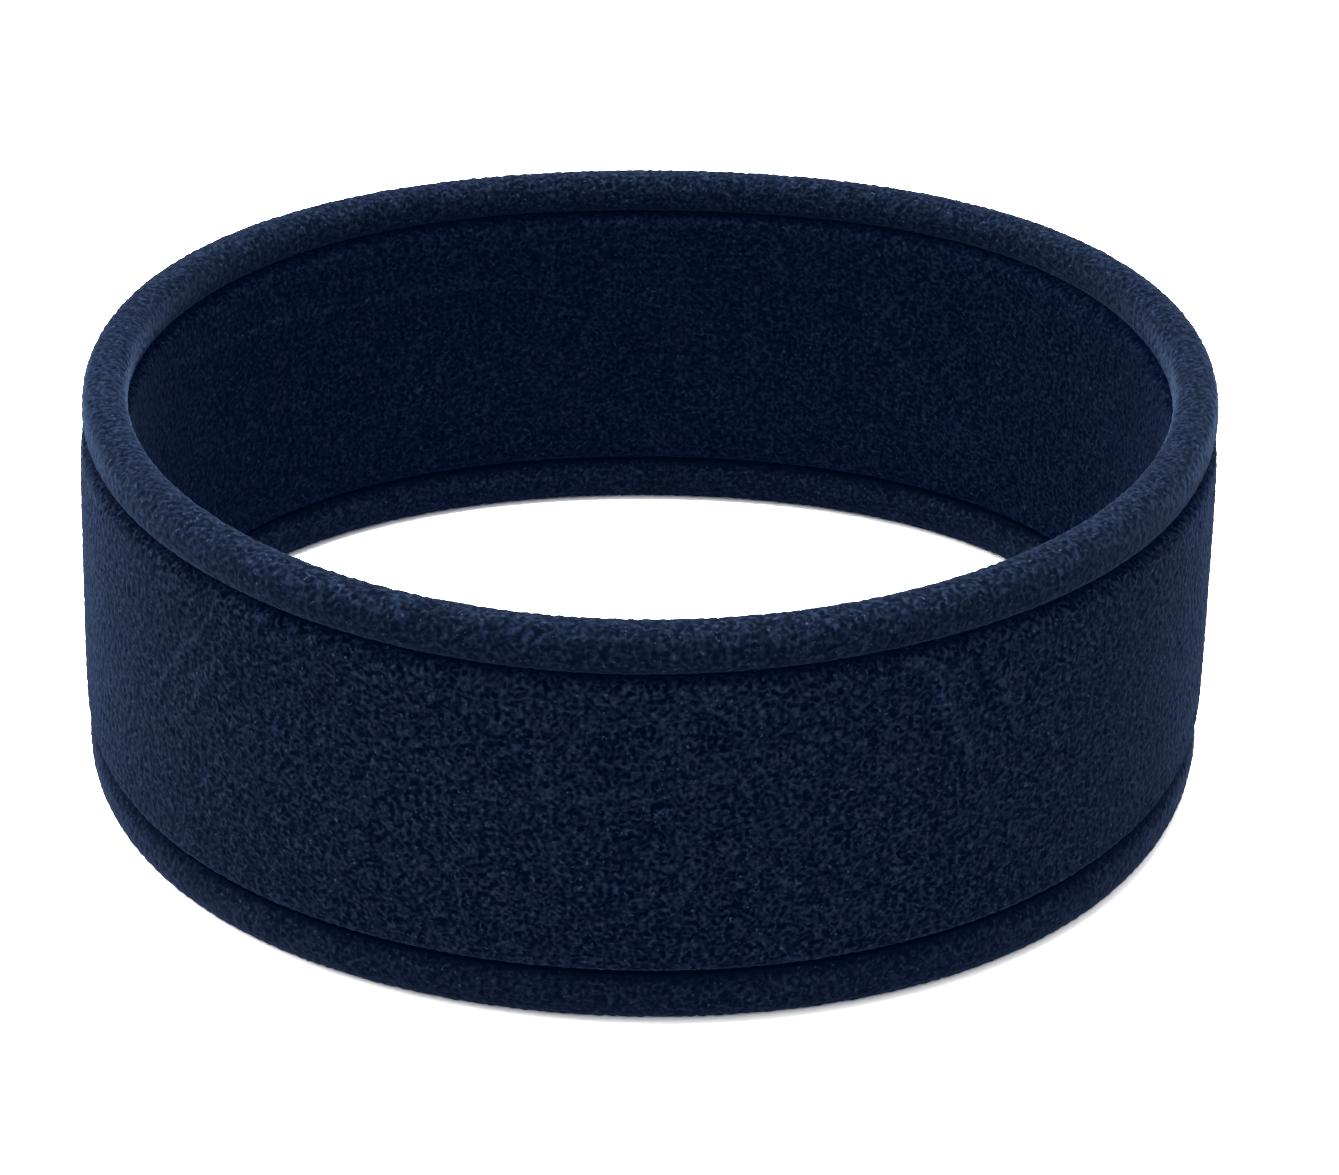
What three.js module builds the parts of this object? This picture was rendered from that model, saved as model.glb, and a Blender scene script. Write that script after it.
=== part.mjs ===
// An ear warmer headband: one closed loop of thick fleece that stands on its lower edge.
// A padded panel runs all the way round. A strip of the same fleece is folded over the panel's
// upper edge and another over its lower edge, and each strip meets the panel in a narrow groove.
// Millimetres, +Z up. The origin is on the surface that the loop stands on, under its middle.
// The front faces -Y, and the loop's long way runs along X.

import * as THREE from "three";

// The loop seen from above, measured to the middle of the cloth
const LOOP_HALF_WIDTH = 88;
const LOOP_HALF_DEPTH = 81.7;
const LOOP_SQUARENESS = 2.13;
const FOOT_SPREAD = 1.7;

// Heights, from the surface that the loop stands on
const BAND_HEIGHT = 67.4;
const TOP_HEM_HEIGHT = 7.6;
const BOTTOM_HEM_HEIGHT = 9.6;

// Cloth
const PANEL_THICKNESS = 8;
const PANEL_EDGE_THICKNESS = 2.4;
const HEM_CLOTH = 2;
const FIT_GAP = 0.3;

// A hem wraps the panel's pressed edge, so its slot and its thickness follow from that edge
const SLOT_HALF = PANEL_EDGE_THICKNESS / 2 + FIT_GAP;
const HEM_HALF = SLOT_HALF + HEM_CLOTH;

const STEPS_ROUND = 90;
const DEGREE = Math.PI / 180;

// The loop is not a true oval: shares of its half width, pushed outward at each peak. The
// second table is the rim's own push, which fades to nothing at the foot.
const LOOP_WAVES = [{ repeats: 3, peakDegrees: 39, share: 0.007 }];
const RIM_PUSH_WAVES = [
  { repeats: 1, peakDegrees: 48, share: 0.003 },
  { repeats: 2, peakDegrees: 72, share: 0.006 },
  { repeats: 3, peakDegrees: 13, share: 0.015 },
];

// The rim and the two grooves rise and dip a little: shares of the band's height
const RIM_WAVES = [
  { repeats: 1, peakDegrees: 194, share: 0.005 },
  { repeats: 2, peakDegrees: 29, share: 0.013 },
  { repeats: 3, peakDegrees: 88, share: 0.005 },
];
const TOP_GROOVE_WAVES = [
  { repeats: 1, peakDegrees: 141, share: 0.004 },
  { repeats: 2, peakDegrees: 81, share: 0.007 },
  { repeats: 3, peakDegrees: 46, share: 0.0015 },
  { repeats: 4, peakDegrees: 37, share: 0.0055 },
];
const BOTTOM_GROOVE_WAVES = [
  { repeats: 1, peakDegrees: 321, share: 0.0035 },
  { repeats: 2, peakDegrees: 181, share: 0.0065 },
  { repeats: 3, peakDegrees: 98, share: 0.0015 },
];

// The panel's two faces from its lower to its upper groove. The first row gives how deep the
// groove is, and the others how the padding swells away from it.
const PANEL_PROFILE = [
  { rise: 0.0, swell: 0.74 },
  { rise: 0.045, swell: 0.88 },
  { rise: 0.13, swell: 0.965 },
  { rise: 0.27, swell: 0.995 },
  { rise: 0.42, swell: 1.0 },
  { rise: 0.58, swell: 1.0 },
  { rise: 0.73, swell: 0.995 },
  { rise: 0.87, swell: 0.965 },
  { rise: 0.955, swell: 0.88 },
  { rise: 1.0, swell: 0.74 },
];

// Half of a hem's rolled section, from its lip in the groove to the middle of the fold, as
// shares of the hem's half thickness and of its height
const RIM_ROLL = [
  { out: 0.92, rise: 0.09 },
  { out: 1.0, rise: 0.36 },
  { out: 0.98, rise: 0.6 },
  { out: 0.77, rise: 0.82 },
  { out: 0.42, rise: 0.96 },
  { out: 0.14, rise: 1.0 },
];
const FOOT_ROLL = [
  { out: 0.93, rise: 0.09 },
  { out: 1.0, rise: 0.38 },
  { out: 0.98, rise: 0.6 },
  { out: 0.79, rise: 0.82 },
  { out: 0.54, rise: 0.95 },
  { out: 0.38, rise: 1.0 },
];
const LIP_SHARE = 0.52;

// Soft folds in the panel's faces: face 1 is outside and -1 inside. A fold's half length and
// half width are shares of the band's height, and its depth is a share of the panel's thickness.
const FOLDS = [
  { face: 1, atDegrees: 226, rise: 0.81, leanDegrees: -62, length: 0.2, width: 0.065, depth: 0.11 },
  { face: 1, atDegrees: 231, rise: 0.69, leanDegrees: -58, length: 0.18, width: 0.065, depth: 0.1 },
  { face: 1, atDegrees: 303, rise: 0.8, leanDegrees: -57, length: 0.24, width: 0.065, depth: 0.11 },
  { face: 1, atDegrees: 254, rise: 0.6, leanDegrees: 17, length: 0.28, width: 0.06, depth: 0.07 },
  { face: 1, atDegrees: 287, rise: 0.67, leanDegrees: -21, length: 0.22, width: 0.06, depth: 0.06 },
  { face: -1, atDegrees: 145, rise: 0.73, leanDegrees: 25, length: 0.32, width: 0.07, depth: 0.08 },
];

function waveSum(waves, angle) {
  return waves.reduce(
    (sum, wave) => sum + wave.share * Math.cos(wave.repeats * (angle - wave.peakDegrees * DEGREE)),
    0,
  );
}

// A point in the middle of the cloth, seen from above
function middlePoint(angle) {
  const across = Math.abs(Math.cos(angle) / LOOP_HALF_WIDTH);
  const along = Math.abs(Math.sin(angle) / LOOP_HALF_DEPTH);
  const oval = (across ** LOOP_SQUARENESS + along ** LOOP_SQUARENESS) ** (-1 / LOOP_SQUARENESS);
  const radius = oval + waveSum(LOOP_WAVES, angle) * LOOP_HALF_WIDTH;
  return new THREE.Vector2(Math.cos(angle), Math.sin(angle)).multiplyScalar(radius);
}

// The direction that the cloth's outer face looks in, seen from above
function facing(angle) {
  const step = DEGREE;
  const tangent = middlePoint(angle + step).sub(middlePoint(angle - step));
  return new THREE.Vector2(tangent.y, -tangent.x).normalize();
}

function rimHeight(angle) {
  return BAND_HEIGHT * (1 + waveSum(RIM_WAVES, angle));
}

function topGroove(angle) {
  return rimHeight(angle) - TOP_HEM_HEIGHT + BAND_HEIGHT * waveSum(TOP_GROOVE_WAVES, angle);
}

function bottomGroove(angle) {
  return BOTTOM_HEM_HEIGHT + BAND_HEIGHT * waveSum(BOTTOM_GROOVE_WAVES, angle);
}

// A point that lies `out` from the middle of the cloth and `rise` above the surface below
function placePoint(angle, out, rise) {
  const upward = rise / BAND_HEIGHT;
  const spread = FOOT_SPREAD * (1 - upward);
  const push = LOOP_HALF_WIDTH * waveSum(RIM_PUSH_WAVES, angle) * upward;
  const point = middlePoint(angle).addScaledVector(facing(angle), out + spread + push);
  return [point.x, point.y, rise];
}

// How far the folds press one face of the panel in, at an angle and a height
function foldDepth(face, angle, rise) {
  let depth = 0;
  for (const fold of FOLDS.filter((entry) => entry.face === face)) {
    const past = angle - fold.atDegrees * DEGREE + Math.PI;
    const turn = THREE.MathUtils.euclideanModulo(past, 2 * Math.PI) - Math.PI;
    const along = turn * LOOP_HALF_WIDTH;
    const up = rise - fold.rise * BAND_HEIGHT;
    const lean = fold.leanDegrees * DEGREE;
    const lengthways = (along * Math.cos(lean) + up * Math.sin(lean)) / (fold.length * BAND_HEIGHT);
    const sideways = (up * Math.cos(lean) - along * Math.sin(lean)) / (fold.width * BAND_HEIGHT);
    depth += fold.depth * PANEL_THICKNESS * Math.exp(-2 * lengthways ** 2 - sideways ** 2);
  }
  return depth;
}

// The panel's section at one angle: up its outer face, round its upper edge, down its inner
// face and round its lower edge. The pressed edges reach into the slots of the two hems.
function panelSection(angle) {
  const low = bottomGroove(angle) + FIT_GAP;
  const high = topGroove(angle) - FIT_GAP;
  const edgeLow = HEM_CLOTH + FIT_GAP;
  const edgeHigh = rimHeight(angle) - HEM_CLOTH - FIT_GAP;
  const edgeHalf = PANEL_EDGE_THICKNESS / 2;
  const wall = (face) =>
    PANEL_PROFILE.map(({ rise, swell }) => {
      const height = THREE.MathUtils.lerp(low, high, rise);
      const pressed = foldDepth(face, angle, height) * Math.sin(Math.PI * rise);
      return [face * ((swell * PANEL_THICKNESS) / 2 - pressed), height];
    });
  return [
    [edgeHalf, edgeLow],
    [edgeHalf, low],
    ...wall(1),
    [edgeHalf, high],
    [edgeHalf, edgeHigh],
    [-edgeHalf, edgeHigh],
    [-edgeHalf, high],
    ...wall(-1).reverse(),
    [-edgeHalf, low],
    [-edgeHalf, edgeLow],
  ];
}

// One half of a hem's section on one side of the cloth, from the slot's mouth over the lip
// to the fold
function hemHalf(roll, lip, fold, side) {
  return [
    [side * SLOT_HALF, lip],
    [side * (SLOT_HALF + LIP_SHARE * HEM_CLOTH), lip],
    ...roll.map(({ out, rise }) => [side * out * HEM_HALF, THREE.MathUtils.lerp(lip, fold, rise)]),
  ];
}

function topHemSection(angle) {
  const fold = rimHeight(angle);
  const lip = topGroove(angle);
  return [
    ...hemHalf(RIM_ROLL, lip, fold, 1),
    ...hemHalf(RIM_ROLL, lip, fold, -1).reverse(),
    [-SLOT_HALF, fold - HEM_CLOTH],
    [SLOT_HALF, fold - HEM_CLOTH],
  ];
}

function bottomHemSection(angle) {
  const lip = bottomGroove(angle);
  return [
    ...hemHalf(FOOT_ROLL, lip, 0, -1),
    ...hemHalf(FOOT_ROLL, lip, 0, 1).reverse(),
    [SLOT_HALF, HEM_CLOTH],
    [-SLOT_HALF, HEM_CLOTH],
  ];
}

// Carries a closed section all the way round the loop
function loopGeometry(sectionAt) {
  const sections = Array.from({ length: STEPS_ROUND }, (_, step) => {
    const angle = (2 * Math.PI * step) / STEPS_ROUND;
    return sectionAt(angle).map(([out, rise]) => placePoint(angle, out, rise));
  });
  const corners = sections[0].length;
  const indices = [];
  for (let step = 0; step < STEPS_ROUND; step += 1) {
    for (let corner = 0; corner < corners; corner += 1) {
      const nextStep = ((step + 1) % STEPS_ROUND) * corners;
      const nextCorner = (corner + 1) % corners;
      const a = step * corners + corner;
      const b = nextStep + corner;
      const c = nextStep + nextCorner;
      const d = step * corners + nextCorner;
      indices.push(a, b, c, a, c, d);
    }
  }
  const geometry = new THREE.BufferGeometry();
  geometry.setAttribute("position", new THREE.Float32BufferAttribute(sections.flat(2), 3));
  geometry.setIndex(indices);
  geometry.computeVertexNormals();
  return geometry;
}

function fleeceMesh(name, sectionAt, color) {
  const material = new THREE.MeshStandardMaterial({ color, roughness: 0.95, metalness: 0 });
  const mesh = new THREE.Mesh(loopGeometry(sectionAt), material);
  mesh.name = name;
  return mesh;
}

const loop = new THREE.Group();
loop.add(
  fleeceMesh("band_panel", panelSection, 0x1b2840),
  fleeceMesh("top_hem", topHemSection, 0x202e49),
  fleeceMesh("bottom_hem", bottomHemSection, 0x1a263c),
);

// The waves leave the loop a little off its centre, so it is moved back over the origin
const middle = new THREE.Box3().setFromObject(loop, true).getCenter(new THREE.Vector3());
loop.position.set(-middle.x, -middle.y, 0);

const headband = new THREE.Group();
headband.add(loop);

export default headband;
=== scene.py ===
import math

import bpy
import numpy as np
from mathutils import Matrix, Vector


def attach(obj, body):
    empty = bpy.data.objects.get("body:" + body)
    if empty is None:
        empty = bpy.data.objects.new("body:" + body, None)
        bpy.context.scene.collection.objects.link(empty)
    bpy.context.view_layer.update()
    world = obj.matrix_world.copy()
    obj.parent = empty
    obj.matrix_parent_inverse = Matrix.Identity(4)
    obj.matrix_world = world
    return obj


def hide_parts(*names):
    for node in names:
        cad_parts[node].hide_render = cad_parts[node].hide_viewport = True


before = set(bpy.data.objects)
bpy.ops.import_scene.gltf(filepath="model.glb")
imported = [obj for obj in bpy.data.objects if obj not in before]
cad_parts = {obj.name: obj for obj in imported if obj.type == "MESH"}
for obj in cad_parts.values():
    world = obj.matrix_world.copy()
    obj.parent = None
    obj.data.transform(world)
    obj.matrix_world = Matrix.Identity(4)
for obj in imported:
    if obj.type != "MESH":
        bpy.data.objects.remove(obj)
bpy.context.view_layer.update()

# The panel. Two layers of navy polar fleece lie back to back with their brushed sides out, and
# the hems hold them along both grooves. The cloth swells out of the grooves and is nearly flat
# between them, apart from a few faint pulls where it has been stretched.
stations_round = 90
same_level = 1e-5
waves_kept = 6


def cloth_points(node):
    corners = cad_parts[node].data.vertices
    flat = np.empty(len(corners) * 3, np.float32)
    corners.foreach_get("co", flat)
    return flat.reshape(-1, 3).astype(float)


def smooth_line(angles, values):
    """Fits low waves to values measured round the loop, and returns them as a function."""
    turns = np.arange(1, waves_kept + 1)

    def terms(a):
        a = np.asarray(a, float)[..., None]
        return np.concatenate([np.ones_like(a), np.cos(a * turns), np.sin(a * turns)], -1)

    sizes = np.linalg.lstsq(terms(angles), values, rcond=None)[0]
    return lambda a: terms(a) @ sizes


def line_on(node, edge, measure):
    """A smooth line along a node's highest or lowest points: their height or their radius."""
    points = cloth_points(node)
    angles = np.arctan2(points[:, 1], points[:, 0])
    stations = np.round(angles / (2 * np.pi) * stations_round).astype(int) % stations_round
    found = []
    for station in range(stations_round):
        here = points[stations == station]
        level = here[:, 2].max() if edge == "highest" else here[:, 2].min()
        spot = here[np.abs(here[:, 2] - level) < same_level].mean(0)
        value = spot[2] if measure == "height" else math.hypot(spot[0], spot[1])
        found.append((math.atan2(spot[1], spot[0]), value))
    found = np.array(found)
    return smooth_line(found[:, 0], found[:, 1])


rim_height = line_on("top_hem", "highest", "height")
rim_radius = line_on("top_hem", "highest", "radius")
top_groove = line_on("top_hem", "lowest", "height")
lower_lip = line_on("bottom_hem", "highest", "height")
foot_radius = line_on("bottom_hem", "lowest", "radius")
groove_drop = 0.0004


def bottom_groove(angle):
    return lower_lip(angle) - groove_drop


def place_on_loop(angle, out, rise):
    """Points `out` from the middle of the cloth and `rise` above the floor, as x, y, z."""
    share = rise / rim_height(angle)
    radius = foot_radius(angle) * (1 - share) + rim_radius(angle) * share
    step = 1e-3
    slope = (rim_radius(angle + step) - rim_radius(angle - step)) / (2 * step)
    away = np.stack([np.cos(angle), np.sin(angle)], -1)
    along = np.stack([-np.sin(angle), np.cos(angle)], -1)
    facing = away * radius[..., None] - along * slope[..., None]
    facing /= np.linalg.norm(facing, axis=-1, keepdims=True)
    flat = away * radius[..., None] + facing * out[..., None]
    return np.concatenate([flat, rise[..., None]], -1)


curl_spacing = 0.00175
curl_spread = 0.22
clump_spacing = 0.006
clump_spread = 0.6
usual_pile = 0.62
curl_share = 0.22
clump_share = 0.01


def random_waves(rows, columns, row_step, column_step, wavelength, spread, seed):
    """Waves of about one length all over a strip that closes on itself, of unit size."""
    noise = np.random.default_rng(seed).standard_normal((rows * 2, columns))
    across = np.fft.fftfreq(rows * 2, row_step)[:, None]
    around = np.fft.fftfreq(columns, column_step)[None, :]
    pitch = np.hypot(across, around) * wavelength
    field = np.fft.ifft2(np.fft.fft2(noise) * np.exp(-(((pitch - 1) / spread) ** 2))).real[:rows]
    return field / field.std()


def fleece_relief(rows, columns, row_step, column_step, seed):
    """Heights of the pile, 0 in the pits and 1 on the curls."""
    strip = (rows, columns, row_step, column_step)
    curls = random_waves(*strip, curl_spacing, curl_spread, seed)
    clumps = random_waves(*strip, clump_spacing, clump_spread, seed + 2)
    return np.clip(usual_pile + curls * curl_share + clumps * clump_share, 0, 1)


pull_width = 0.0008
pull_steps = 81


def pulled(angle, rise, pulls):
    """How far the cloth stands up along each pull, a curve through three points of the face."""
    lift = np.zeros(angle.shape)
    way = np.linspace(0, 1, pull_steps)
    for start, middle, end, height in pulls:
        start, middle, end = (np.array(point, float) for point in (start, middle, end))
        bend = 2 * middle - (start + end) / 2
        line = np.outer((1 - way) ** 2, start) + np.outer(2 * way * (1 - way), bend)
        line = line + np.outer(way**2, end)
        for (degrees, share), along in zip(line, way):
            bearing = math.radians(degrees)
            turn = (angle - bearing + math.pi) % (2 * math.pi) - math.pi
            aside = turn * foot_radius(np.array(bearing))
            above = rise - share * rim_height(np.array(bearing))
            near = height * np.exp(-(aside**2 + above**2) / pull_width**2)
            near = near * max(math.sin(math.pi * along), 0) ** 0.5
            lift = np.where(np.abs(near) > np.abs(lift), near, lift)
    return lift


curl_height = 0.0003
cloth_level = 0.4
pressed_share = 0.4
pressed_reach = 0.0015
groove_shade_fade = 0.0014
pull_painted_shade = 0.0008
section_steps = 801


def loop_piece(name, section, rows, columns, seam_depths, seed, pulls=()):
    """Cloth carried round the loop. `section` gives out and rise for a share of the way across
    it. The pile stands on the side that shows, and is pressed where the first and last
    `seam_depths` of the way lie in a seam. There its colour is darkened as painted shade, and
    the faces take the second, darker material, which is painted shade too."""
    fine_share = np.linspace(0, 1, section_steps)
    out, rise = section(fine_share[:, None], np.zeros((1, 1)))
    length = np.concatenate([[0], np.cumsum(np.hypot(np.diff(out[:, 0]), np.diff(rise[:, 0])))])
    walked = np.linspace(0, length[-1], rows)
    share = np.interp(walked, length, fine_share)
    angle = np.linspace(0, 2 * np.pi, columns, endpoint=False)
    out, rise = section(share[:, None], angle[None, :])
    out, rise = np.broadcast_arrays(out, rise)
    grid_angle = np.broadcast_to(angle[None, :], out.shape)
    smooth = place_on_loop(grid_angle, out, rise)
    around = np.roll(smooth, -1, 1) - np.roll(smooth, 1, 1)
    across = np.gradient(smooth, axis=0)
    facing = np.cross(around, across)
    facing /= np.linalg.norm(facing, axis=-1, keepdims=True)
    column_step = float(np.linalg.norm(around, axis=-1).mean() / 2)
    pile = fleece_relief(rows, columns, walked[1], column_step, seed)
    to_edge = np.minimum(walked, walked[-1] - walked)
    seam_depth = np.where(walked < walked[-1] / 2, seam_depths[0], seam_depths[1])
    standing = pressed_share + (1 - pressed_share) * (to_edge - seam_depth) / pressed_reach
    standing = np.clip(standing, pressed_share, 1)[:, None]
    pull = pulled(grid_angle, rise, pulls)
    points = smooth + facing * ((pile - cloth_level) * curl_height * standing + pull)[..., None]
    points[..., 2] = np.maximum(points[..., 2], 0)
    # The pulls are also painted into the colour: lighter along the raised ridges and darker in
    # the crease, as painted light and shade.
    lightness = pile + pull / pull_painted_shade
    corner = np.arange(rows * columns).reshape(rows, columns)
    low = corner[:-1].ravel()
    high = corner[1:].ravel()
    next_low = np.roll(corner, -1, 1)[:-1].ravel()
    next_high = np.roll(corner, -1, 1)[1:].ravel()
    faces = np.stack([low, next_low, next_high, high], 1)
    mesh = bpy.data.meshes.new(name)
    mesh.vertices.add(rows * columns)
    mesh.vertices.foreach_set("co", points.reshape(-1).astype(np.float32))
    mesh.loops.add(faces.size)
    mesh.loops.foreach_set("vertex_index", faces.reshape(-1).astype(np.int32))
    mesh.polygons.add(len(faces))
    mesh.polygons.foreach_set("loop_start", np.arange(0, faces.size, 4, dtype=np.int32))
    mesh.update(calc_edges=True)
    mesh.validate()
    mesh.shade_smooth()
    # Painted shade: the seam attribute darkens the colour towards each groove, where the cloth
    # lies in shade.
    groove_shade_mask = np.clip(1 - (to_edge - seam_depth) / groove_shade_fade, 0, 1)
    for label, values in (("pile", lightness), ("seam", np.repeat(groove_shade_mask, columns))):
        mesh.attributes.new(label, "FLOAT", "POINT").data.foreach_set(
            "value", values.reshape(-1).astype(np.float32)
        )
    # Faces right next to the grooves take the second material, a darker copy of the fleece
    # without sheen: painted shade.
    row_under_groove_shade = (to_edge < seam_depth)[:-1] & (to_edge < seam_depth)[1:]
    mesh.polygons.foreach_set("material_index", np.repeat(row_under_groove_shade, columns).astype(np.int32))
    piece = bpy.data.objects.new(name, mesh)
    bpy.context.scene.collection.objects.link(piece)
    return piece


# Every scale counts noise grains to the metre.
bend_scale = 1100
bend_reach = 0.0004
strand_turns = 13
crossing_shift = (3.1, 1.7, 2.3)
fibre_scale = 3000
tuft_shift = (7.7, 5.3, 1.9)
tuft_scale_share = 1.6
strand_weight = 0.15
fibre_weight = 0.22
tuft_weight = 0.9
relief_weight = 0.28
middle_height = 0.56
pit_height = -0.2
crest_height = 0.85
lightness_power = 2.0
seam_shade = 0.9
dye_scale = 170
dye_lowest = (0.8, 0.85, 0.85)
dye_range = (0.4, 0.3, 0.3)
tip_scale = 1500
tip_starts = 0.68
tip_full = 0.9


def fleece_group():
    """The shader group of the pile: curls too fine for the mesh, and the fibres on them. Its
    colour is darker in the pits and where the mesh relief lies low, partly the pile's own tone
    and partly painted shade.
    """
    group = bpy.data.node_groups.new("fleece_pile", "ShaderNodeTree")
    for name, kind in (
        ("Pit Colour", "NodeSocketColor"),
        ("Curl Colour", "NodeSocketColor"),
        ("Tip Colour", "NodeSocketColor"),
        ("Curl Scale", "NodeSocketFloat"),
    ):
        group.interface.new_socket(name, in_out="INPUT", socket_type=kind)
    group.interface.new_socket("Colour", in_out="OUTPUT", socket_type="NodeSocketColor")
    group.interface.new_socket("Height", in_out="OUTPUT", socket_type="NodeSocketFloat")
    nodes = group.nodes
    link = group.links.new
    given = nodes.new("NodeGroupInput")
    made = nodes.new("NodeGroupOutput")
    place = nodes.new("ShaderNodeTexCoord")
    relief = nodes.new("ShaderNodeAttribute")
    relief.attribute_name = "pile"
    # The seam attribute carries the painted shade near the grooves.
    seam = nodes.new("ShaderNodeAttribute")
    seam.attribute_name = "seam"

    def calculate(kind, first, second=None, third=None):
        node = nodes.new("ShaderNodeMath")
        node.operation = kind
        for slot, value in enumerate((first, second, third)):
            if value is None:
                continue
            if isinstance(value, (int, float)):
                node.inputs[slot].default_value = value
            else:
                link(value, node.inputs[slot])
        return node.outputs[0]

    def noise(vector, scale, detail=0.0):
        node = nodes.new("ShaderNodeTexNoise")
        node.inputs["Detail"].default_value = detail
        link(vector, node.inputs["Vector"])
        if isinstance(scale, (int, float)):
            node.inputs["Scale"].default_value = scale
        else:
            link(scale, node.inputs["Scale"])
        return node.outputs

    def moved(vector, by):
        node = nodes.new("ShaderNodeVectorMath")
        node.operation = "ADD"
        node.inputs[1].default_value = by
        link(vector, node.inputs[0])
        return node.outputs[0]

    def between(value, low, high):
        node = nodes.new("ShaderNodeMapRange")
        node.inputs["From Min"].default_value = low
        node.inputs["From Max"].default_value = high
        link(value, node.inputs["Value"])
        return node.outputs["Result"]

    bend = nodes.new("ShaderNodeVectorMath")
    bend.operation = "MULTIPLY_ADD"
    bend.inputs[1].default_value = (bend_reach, bend_reach, bend_reach)
    link(noise(place.outputs["Object"], bend_scale)["Color"], bend.inputs[0])
    link(place.outputs["Object"], bend.inputs[2])
    bent = bend.outputs[0]
    scale = given.outputs["Curl Scale"]

    def strands(vector):
        field = noise(vector, scale)["Fac"]
        turns = calculate("MULTIPLY_ADD", field, strand_turns, -strand_turns / 2)
        return calculate("COSINE", turns)

    crossing = calculate("ADD", strands(bent), strands(moved(bent, crossing_shift)))
    fibres = noise(place.outputs["Object"], fibre_scale, 1)["Fac"]
    tuft_scale = calculate("MULTIPLY", scale, tuft_scale_share)
    tufts = noise(moved(bent, tuft_shift), tuft_scale)["Fac"]
    height = calculate("SUBTRACT", calculate("MULTIPLY", crossing, strand_weight), middle_height)
    height = calculate("MULTIPLY_ADD", fibres, fibre_weight, height)
    height = calculate("MULTIPLY_ADD", tufts, tuft_weight, height)
    # The mesh relief also darkens the colour where the cloth lies low: painted shade.
    height = calculate("MULTIPLY_ADD", relief.outputs["Fac"], relief_weight, height)
    link(height, made.inputs["Height"])

    # Pits are painted darker than the curls: partly the pile's own tone, partly painted shade
    # standing in for the shade between the curls.
    lift = nodes.new("ShaderNodeMix")
    lift.data_type = "RGBA"
    lightness = calculate("POWER", between(height, pit_height, crest_height), lightness_power)
    # Near the grooves the pile colour is pulled down towards the pit colour: painted shade.
    clear_of_groove_shade = calculate("MULTIPLY_ADD", seam.outputs["Fac"], -seam_shade, 1)
    link(calculate("MULTIPLY", lightness, clear_of_groove_shade), lift.inputs["Factor"])
    link(given.outputs["Pit Colour"], lift.inputs["A"])
    dye = nodes.new("ShaderNodeVectorMath")
    dye.operation = "MULTIPLY_ADD"
    dye.inputs[1].default_value = dye_range
    dye.inputs[2].default_value = dye_lowest
    link(noise(place.outputs["Object"], dye_scale, 1)["Color"], dye.inputs[0])
    dyed = nodes.new("ShaderNodeVectorMath")
    dyed.operation = "MULTIPLY"
    link(dye.outputs[0], dyed.inputs[0])
    link(given.outputs["Curl Colour"], dyed.inputs[1])
    link(dyed.outputs[0], lift.inputs["B"])

    specks = noise(place.outputs["Object"], tip_scale, 1)["Fac"]
    tips = nodes.new("ShaderNodeMix")
    tips.data_type = "RGBA"
    link(between(specks, tip_starts, tip_full), tips.inputs["Factor"])
    link(lift.outputs["Result"], tips.inputs["A"])
    link(given.outputs["Tip Colour"], tips.inputs["B"])
    link(tips.outputs["Result"], made.inputs["Colour"])
    return group


pile_group = fleece_group()
curl_scale = 880
bump_height = 0.00006


def fleece_material(name, pit, curl, tip, sheen):
    material = bpy.data.materials.new(name)
    material.use_nodes = True
    nodes = material.node_tree.nodes
    link = material.node_tree.links.new
    cloth = nodes["Principled BSDF"]
    pile = nodes.new("ShaderNodeGroup")
    pile.node_tree = pile_group
    pile.inputs["Pit Colour"].default_value = (*pit, 1)
    pile.inputs["Curl Colour"].default_value = (*curl, 1)
    pile.inputs["Tip Colour"].default_value = (*tip, 1)
    pile.inputs["Curl Scale"].default_value = curl_scale
    bump = nodes.new("ShaderNodeBump")
    bump.inputs["Strength"].default_value = 1
    bump.inputs["Distance"].default_value = bump_height
    link(pile.outputs["Height"], bump.inputs["Height"])
    link(pile.outputs["Colour"], cloth.inputs["Base Color"])
    link(bump.outputs["Normal"], cloth.inputs["Normal"])
    cloth.inputs["Roughness"].default_value = 0.95
    cloth.inputs["Specular IOR Level"].default_value = 0
    # A faint blue glow lifts the darkest shade of every fleece to deep blue: painted light, the
    # cloth gives off none.
    cloth.inputs["Emission Color"].default_value = (0.0, 0.18, 1.0, 1)
    cloth.inputs["Emission Strength"].default_value = 0.0095
    cloth.inputs["Sheen Weight"].default_value = sheen
    cloth.inputs["Sheen Roughness"].default_value = 0.4
    cloth.inputs["Sheen Tint"].default_value = (0.36, 0.54, 1.0, 1)
    return material


panel_half = 0.0040
groove_half = 0.0008
groove_gap = 0.0001
shoulder = 0.0024
seam_pull = 0.15
seam_reach = 0.0035
panel_steps_up = 92
panel_steps_round = 1060
# Each pull is three points, as degrees round the loop and a share of its height, and how high
# the cloth stands there in metres.
outer_pulls = (
    ((240, 0.77), (264, 0.60), (297, 0.80), 0.00034),
    ((229, 0.90), (223, 0.72), (216, 0.52), 0.00030),
    ((229, 0.78), (225, 0.65), (222, 0.53), 0.00026),
    ((298, 0.88), (301, 0.74), (305, 0.49), 0.00038),
    ((303, 0.91), (304.5, 0.80), (306, 0.69), -0.00050),
    ((305, 0.87), (307, 0.74), (310, 0.54), 0.00036),
)
inner_pulls = (((170, 0.80), (135, 0.72), (106, 0.71), 0.00035),)


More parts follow.
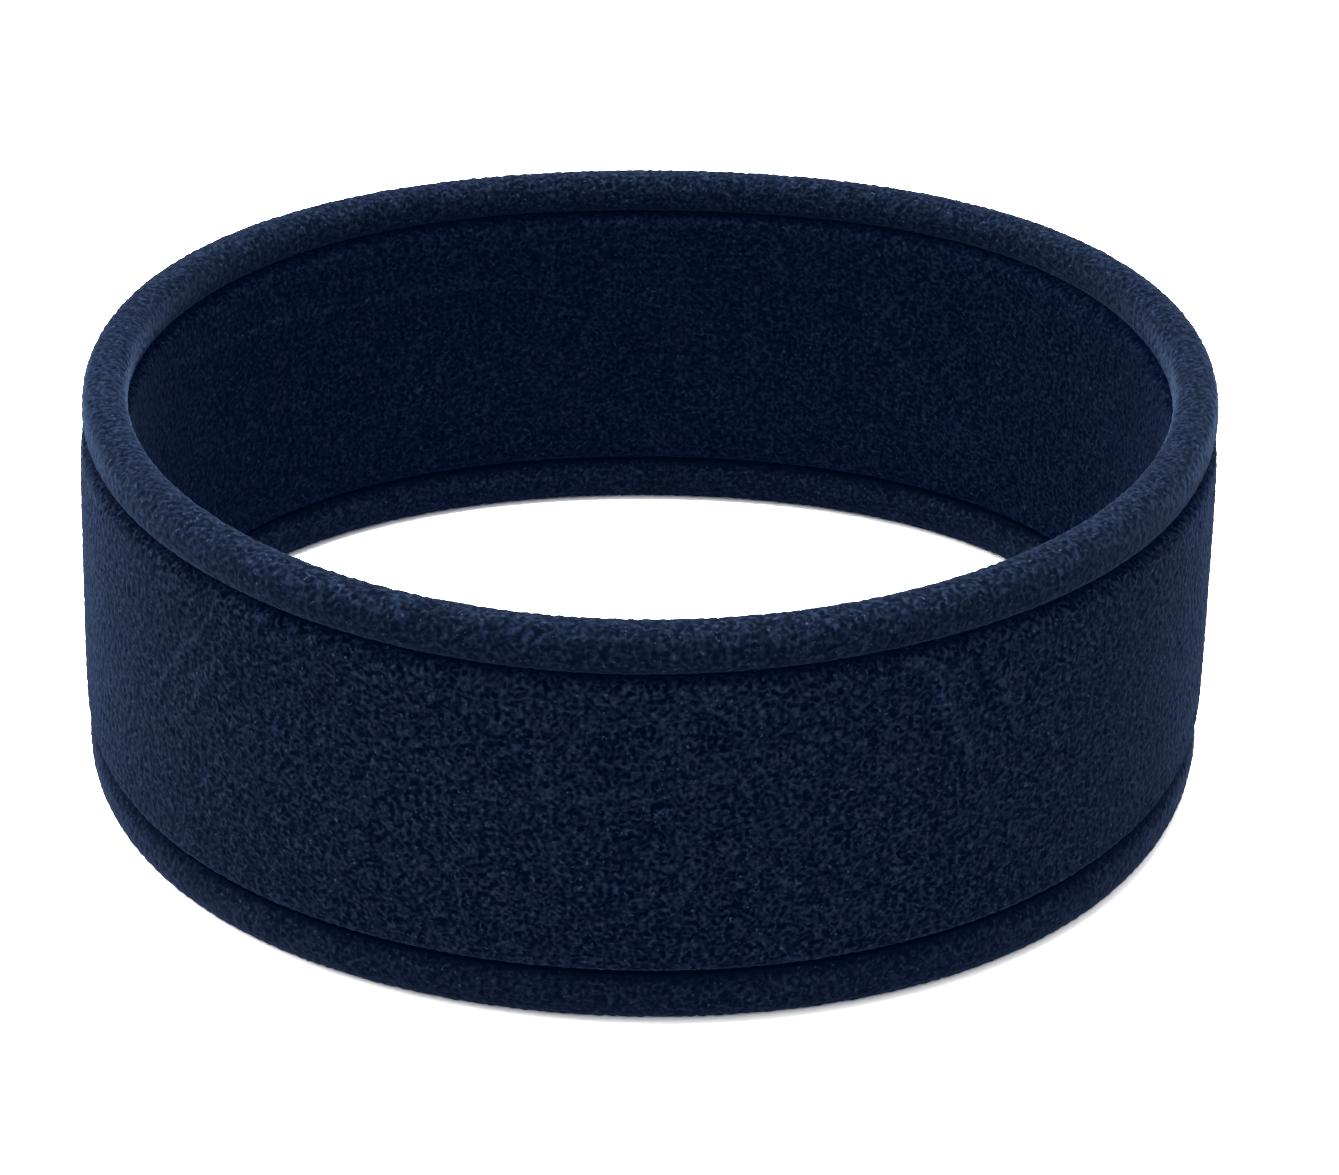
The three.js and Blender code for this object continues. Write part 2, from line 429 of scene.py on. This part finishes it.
def panel_face(side):
    """The panel's outer face for a side of 1, and its inner face for -1."""

    def section(share, angle):
        low = bottom_groove(angle) + groove_gap
        high = top_groove(angle) - groove_gap
        rise = low + (high - low) * share
        to_seam = np.minimum(rise - low, high - rise)
        over = np.clip(1 - to_seam / shoulder, 0, 1)
        roll = np.sqrt(np.clip(1 - over**2, 0, 1))
        swell = 1 - seam_pull * np.exp(-to_seam / seam_reach)
        out = groove_half + (panel_half * swell - groove_half) * roll
        return side * out, rise

    return section


def inner_face(share, angle):
    return panel_face(-1)(1 - share, angle)


panel_outer = loop_piece(
    "panel_outer_layer",
    panel_face(1),
    panel_steps_up,
    panel_steps_round,
    seam_depths=(0.0011, 0.0005),
    seed=11,
    pulls=outer_pulls,
)
panel_inner = loop_piece(
    "panel_inner_layer",
    inner_face,
    panel_steps_up,
    panel_steps_round,
    seam_depths=(-0.0008, 0.0004),
    seed=23,
    pulls=inner_pulls,
)
outer_fleece = fleece_material(
    "navy_fleece_outer",
    pit=(0.0, 0.0003, 0.001),
    curl=(0.0212, 0.0328, 0.069),
    tip=(0.05, 0.08, 0.15),
    sheen=0.11,
)
# The inner layer is a darker copy of the same fleece with less sheen, so the inside of the band
# reads as shaded: painted shade.
inner_painted_shade_fleece = fleece_material(
    "navy_fleece_painted_shade_inside",
    pit=(0.0002, 0.0012, 0.004),
    curl=(0.0126, 0.0192, 0.045),
    tip=(0.025, 0.045, 0.10),
    sheen=0.03,
)
# A darker copy of the same fleece with no sheen, laid next to each groove: painted shade.
groove_shade_fleece = fleece_material(
    "navy_fleece_painted_groove_shade",
    pit=(0.0, 0.0003, 0.002),
    curl=(0.006, 0.012, 0.030),
    tip=(0.01, 0.02, 0.04),
    sheen=0,
)
for piece, fleece in ((panel_outer, outer_fleece), (panel_inner, inner_painted_shade_fleece)):
    piece.data.materials.append(fleece)
    piece.data.materials.append(groove_shade_fleece)
    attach(piece, "root")
    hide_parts("band_panel")


# The hems. A strip of the same fleece is folded over each edge of the panel and sewn down
# through both layers, so it rolls into a fat soft tube with a narrow groove on each side of the
# band. The lower one is pressed flat where the band stands on it.
hem_half = 0.0035
lip_turn = math.radians(80)
lip_fullness = 0.6
floor_press = 0.0001
top_hem_steps = 44
bottom_hem_steps = 52
hem_steps_round = 1060


def hem_roll(lip_line, fold_line, fold_fullness):
    """A hem's way round, from the lip in one groove over the fold to the lip in the other."""

    def section(share, angle):
        turn = -lip_turn + share * (math.pi + 2 * lip_turn)
        climb = np.sin(turn)
        fullness = np.where(climb < 0, lip_fullness, fold_fullness)
        climb = np.where(climb < 0, climb, np.abs(climb) ** fold_fullness)
        out = hem_half * np.sign(np.cos(turn)) * np.abs(np.cos(turn)) ** fullness
        lip = lip_line(angle)
        fold = fold_line(angle)
        rise = (lip + fold) / 2 + (fold - lip) / 2 * climb
        return out, rise

    return section


def top_line(angle):
    return rim_height(angle) - curl_height


def floor_line(angle):
    return np.full(np.shape(angle), -floor_press)


def bottom_section(share, angle):
    out, rise = hem_roll(bottom_groove, floor_line, fold_fullness=1.1)(share, angle)
    return -out, rise


top_roll = loop_piece(
    "top_hem_roll",
    hem_roll(top_groove, top_line, fold_fullness=0.8),
    top_hem_steps,
    hem_steps_round,
    seam_depths=(0.0019, 0.0019),
    seed=37,
)
bottom_roll = loop_piece(
    "bottom_hem_roll",
    bottom_section,
    bottom_hem_steps,
    hem_steps_round,
    seam_depths=(0.0010, 0.0010),
    seed=41,
)
# The hems take a copy of the same fleece with darker curls, lighter pits and more sheen, matched
# to how the rolls are lit: painted shade.
hem_painted_shade_fleece = fleece_material(
    "navy_fleece_painted_shade_hem",
    pit=(0.0010, 0.0022, 0.004),
    curl=(0.0180, 0.0276, 0.058),
    tip=(0.05, 0.08, 0.15),
    sheen=0.18,
)
for piece, node in ((top_roll, "top_hem"), (bottom_roll, "bottom_hem")):
    piece.data.materials.append(hem_painted_shade_fleece)
    piece.data.materials.append(groove_shade_fleece)
    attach(piece, "root")
    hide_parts(node)


# The studio. The band stands on a white table, lit by a white dome, a soft box on the left and
# a smaller one overhead. The camera sees the table as brightly lit as a pack shot's, while the
# cloth gets back only what a pale table would give.
table_for_cloth = 0.52
table_for_camera = 2.9
bpy.ops.mesh.primitive_plane_add(size=6, location=(0, 0, 0))
table = bpy.context.object
table.name = "white_table"
table_paint = bpy.data.materials.new("white_table_top")
table_paint.use_nodes = True
paint_nodes = table_paint.node_tree.nodes
paint_nodes.clear()
paint_out = paint_nodes.new("ShaderNodeOutputMaterial")
paint = paint_nodes.new("ShaderNodeBsdfDiffuse")
seen_by = paint_nodes.new("ShaderNodeLightPath")
brightness = paint_nodes.new("ShaderNodeMix")
brightness.data_type = "RGBA"
brightness.inputs["A"].default_value = (table_for_cloth, table_for_cloth, table_for_cloth, 1)
brightness.inputs["B"].default_value = (table_for_camera, table_for_camera, table_for_camera, 1)
table_paint.node_tree.links.new(seen_by.outputs["Is Camera Ray"], brightness.inputs["Factor"])
table_paint.node_tree.links.new(brightness.outputs["Result"], paint.inputs["Color"])
table_paint.node_tree.links.new(paint.outputs["BSDF"], paint_out.inputs["Surface"])
table.data.materials.append(table_paint)

dome_lean = (-0.14, 0.04, 1)
world = bpy.data.worlds.new("white_room")
bpy.context.scene.world = world
world.use_nodes = True
room = world.node_tree.nodes
room_link = world.node_tree.links.new
direction = room.new("ShaderNodeTexCoord")
height = room.new("ShaderNodeVectorMath")
height.operation = "DOT_PRODUCT"
height.inputs[1].default_value = dome_lean
dome = room.new("ShaderNodeMapRange")
dome.inputs["From Min"].default_value = -0.1
dome.inputs["From Max"].default_value = 0.9
dome.inputs["To Min"].default_value = 0.32
dome.inputs["To Max"].default_value = 0.9
room_link(direction.outputs["Generated"], height.inputs[0])
room_link(height.outputs["Value"], dome.inputs["Value"])
looked_at = room.new("ShaderNodeLightPath")
strength = room.new("ShaderNodeMix")
room_link(looked_at.outputs["Is Camera Ray"], strength.inputs["Factor"])
room_link(dome.outputs["Result"], strength.inputs["A"])
strength.inputs["B"].default_value = 1
room_link(strength.outputs["Result"], room["Background"].inputs["Strength"])
room["Background"].inputs["Color"].default_value = (1, 1, 1, 1)


def soft_box(name, place, aim, size, power):
    light = bpy.data.lights.new(name, "AREA")
    light.shape = "RECTANGLE"
    light.size = size[0]
    light.size_y = size[1]
    light.energy = power
    lamp = bpy.data.objects.new(name, light)
    lamp.location = place
    lamp.rotation_euler = (Vector(aim) - Vector(place)).to_track_quat("-Z", "Y").to_euler()
    bpy.context.scene.collection.objects.link(lamp)


soft_box("left_soft_box", place=(-1.0, 0.1, 0.9), aim=(0, 0, 0.03), size=(1.0, 1.0), power=12.5)
soft_box("top_soft_box", place=(0, 0.04, 1.2), aim=(0, 0, 0.05), size=(0.6, 0.6), power=29)

# The camera stands in front and above, where the photograph was taken from.
camera_aim = Vector((0.00416, 0.00079, 0.02553))
camera_distance = 0.5568
camera_azimuth = math.radians(0.54)
camera_elevation = math.radians(29.26)
camera_roll = math.radians(0.49)
focal_share = 2.485183
camera_data = bpy.data.cameras.new("camera")
camera = bpy.data.objects.new("camera", camera_data)
bpy.context.scene.collection.objects.link(camera)
camera_back = Vector(
    (
        math.sin(camera_azimuth) * math.cos(camera_elevation),
        -math.cos(camera_azimuth) * math.cos(camera_elevation),
        math.sin(camera_elevation),
    )
)
camera_right = Vector((0, 0, 1)).cross(camera_back).normalized()
camera_up = camera_back.cross(camera_right)
camera_turn = Matrix((camera_right, camera_up, camera_back)).transposed()
camera_turn = camera_turn @ Matrix.Rotation(camera_roll, 3, "Z")
camera.location = camera_aim + camera_back * camera_distance
camera.rotation_euler = camera_turn.to_euler()
camera_data.sensor_width = 36
camera_data.lens = camera_data.sensor_width * focal_share
camera_data.clip_start = 0.01
bpy.context.scene.camera = camera
bpy.context.scene.view_settings.view_transform = "Standard"
